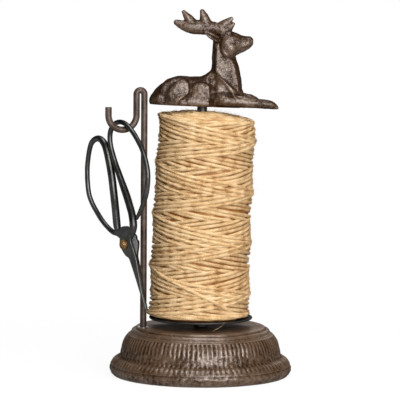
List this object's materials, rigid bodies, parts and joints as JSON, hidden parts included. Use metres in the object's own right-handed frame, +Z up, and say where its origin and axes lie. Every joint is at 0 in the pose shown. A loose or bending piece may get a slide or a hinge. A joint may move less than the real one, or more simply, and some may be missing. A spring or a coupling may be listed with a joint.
{
  "type": "string holder",
  "caption": "Table-top string holder: hollow cast-iron base with a turning plate and spindle for a twine spool, a lift-off stag finial and a hooked rod carrying scissors.",
  "frame": {"origin": "centre of the base's foot, on the surface it stands on, on the spindle's axis", "axes": "+Z up along the spindle, -X from the spindle to the hook rod, so that the hook lies in the XZ plane"},
  "size_m": [0.1588, 0.146, 0.2938],
  "materials": {
    "cast_iron": "rubbed dark brown",
    "rod_steel": "browned",
    "black_steel": "matt black",
    "forged_steel": "black forged",
    "zinc_steel": "zinc plated",
    "jute": "natural",
    "card": "plain",
    "brass": "dull"
  },
  "bodies": {
    "stand": {"base": "cast_iron", "spindle": "rod_steel", "spindle_washer": "zinc_steel", "spindle_nut": "zinc_steel", "jam_nut": "black_steel", "thrust_washer": "black_steel", "hook_rod": "rod_steel", "hook_collar": "zinc_steel", "hook_washer": "zinc_steel", "hook_nut": "zinc_steel"},
    "plate": {"spool_plate": "black_steel"},
    "spool": {"twine_tube": "card", "twine_core": "jute", "twine_winding": "jute"},
    "finial": {"deer": "cast_iron", "finial_socket": "black_steel"},
    "scissors": {"scissor_front": "forged_steel", "scissor_rivet": "brass", "rivet_washer_front": "brass", "rivet_washer_back": "brass"},
    "scissors_other_half": {"scissor_back": "forged_steel"}
  },
  "joints": [
    {"name": "plate_spin", "type": "hinge", "parent": "stand", "child": "plate", "pos_m": [0, 0, 0.0443], "axis": [0, 0, 1], "continuous": true},
    {"name": "spool_spin", "type": "hinge", "parent": "plate", "child": "spool", "pos_m": [0, 0, 0.0458], "axis": [0, 0, 1], "continuous": true},
    {"name": "finial_lift", "type": "slide", "parent": "stand", "child": "finial", "axis": [0, 0, 1], "range_m": [0, 0.06]},
    {"name": "scissors_swing", "type": "hinge", "parent": "stand", "child": "scissors", "pos_m": [-0.0659, 0, 0.1976], "axis": [1, 0, 0], "range_deg": [-60, 7]},
    {"name": "scissors_open", "type": "hinge", "parent": "scissors", "child": "scissors_other_half", "pos_m": [-0.0637, -0.00381, 0.1068], "axis": [-0.866, -0.5, 0], "range_deg": [0, 45]}
  ]
}
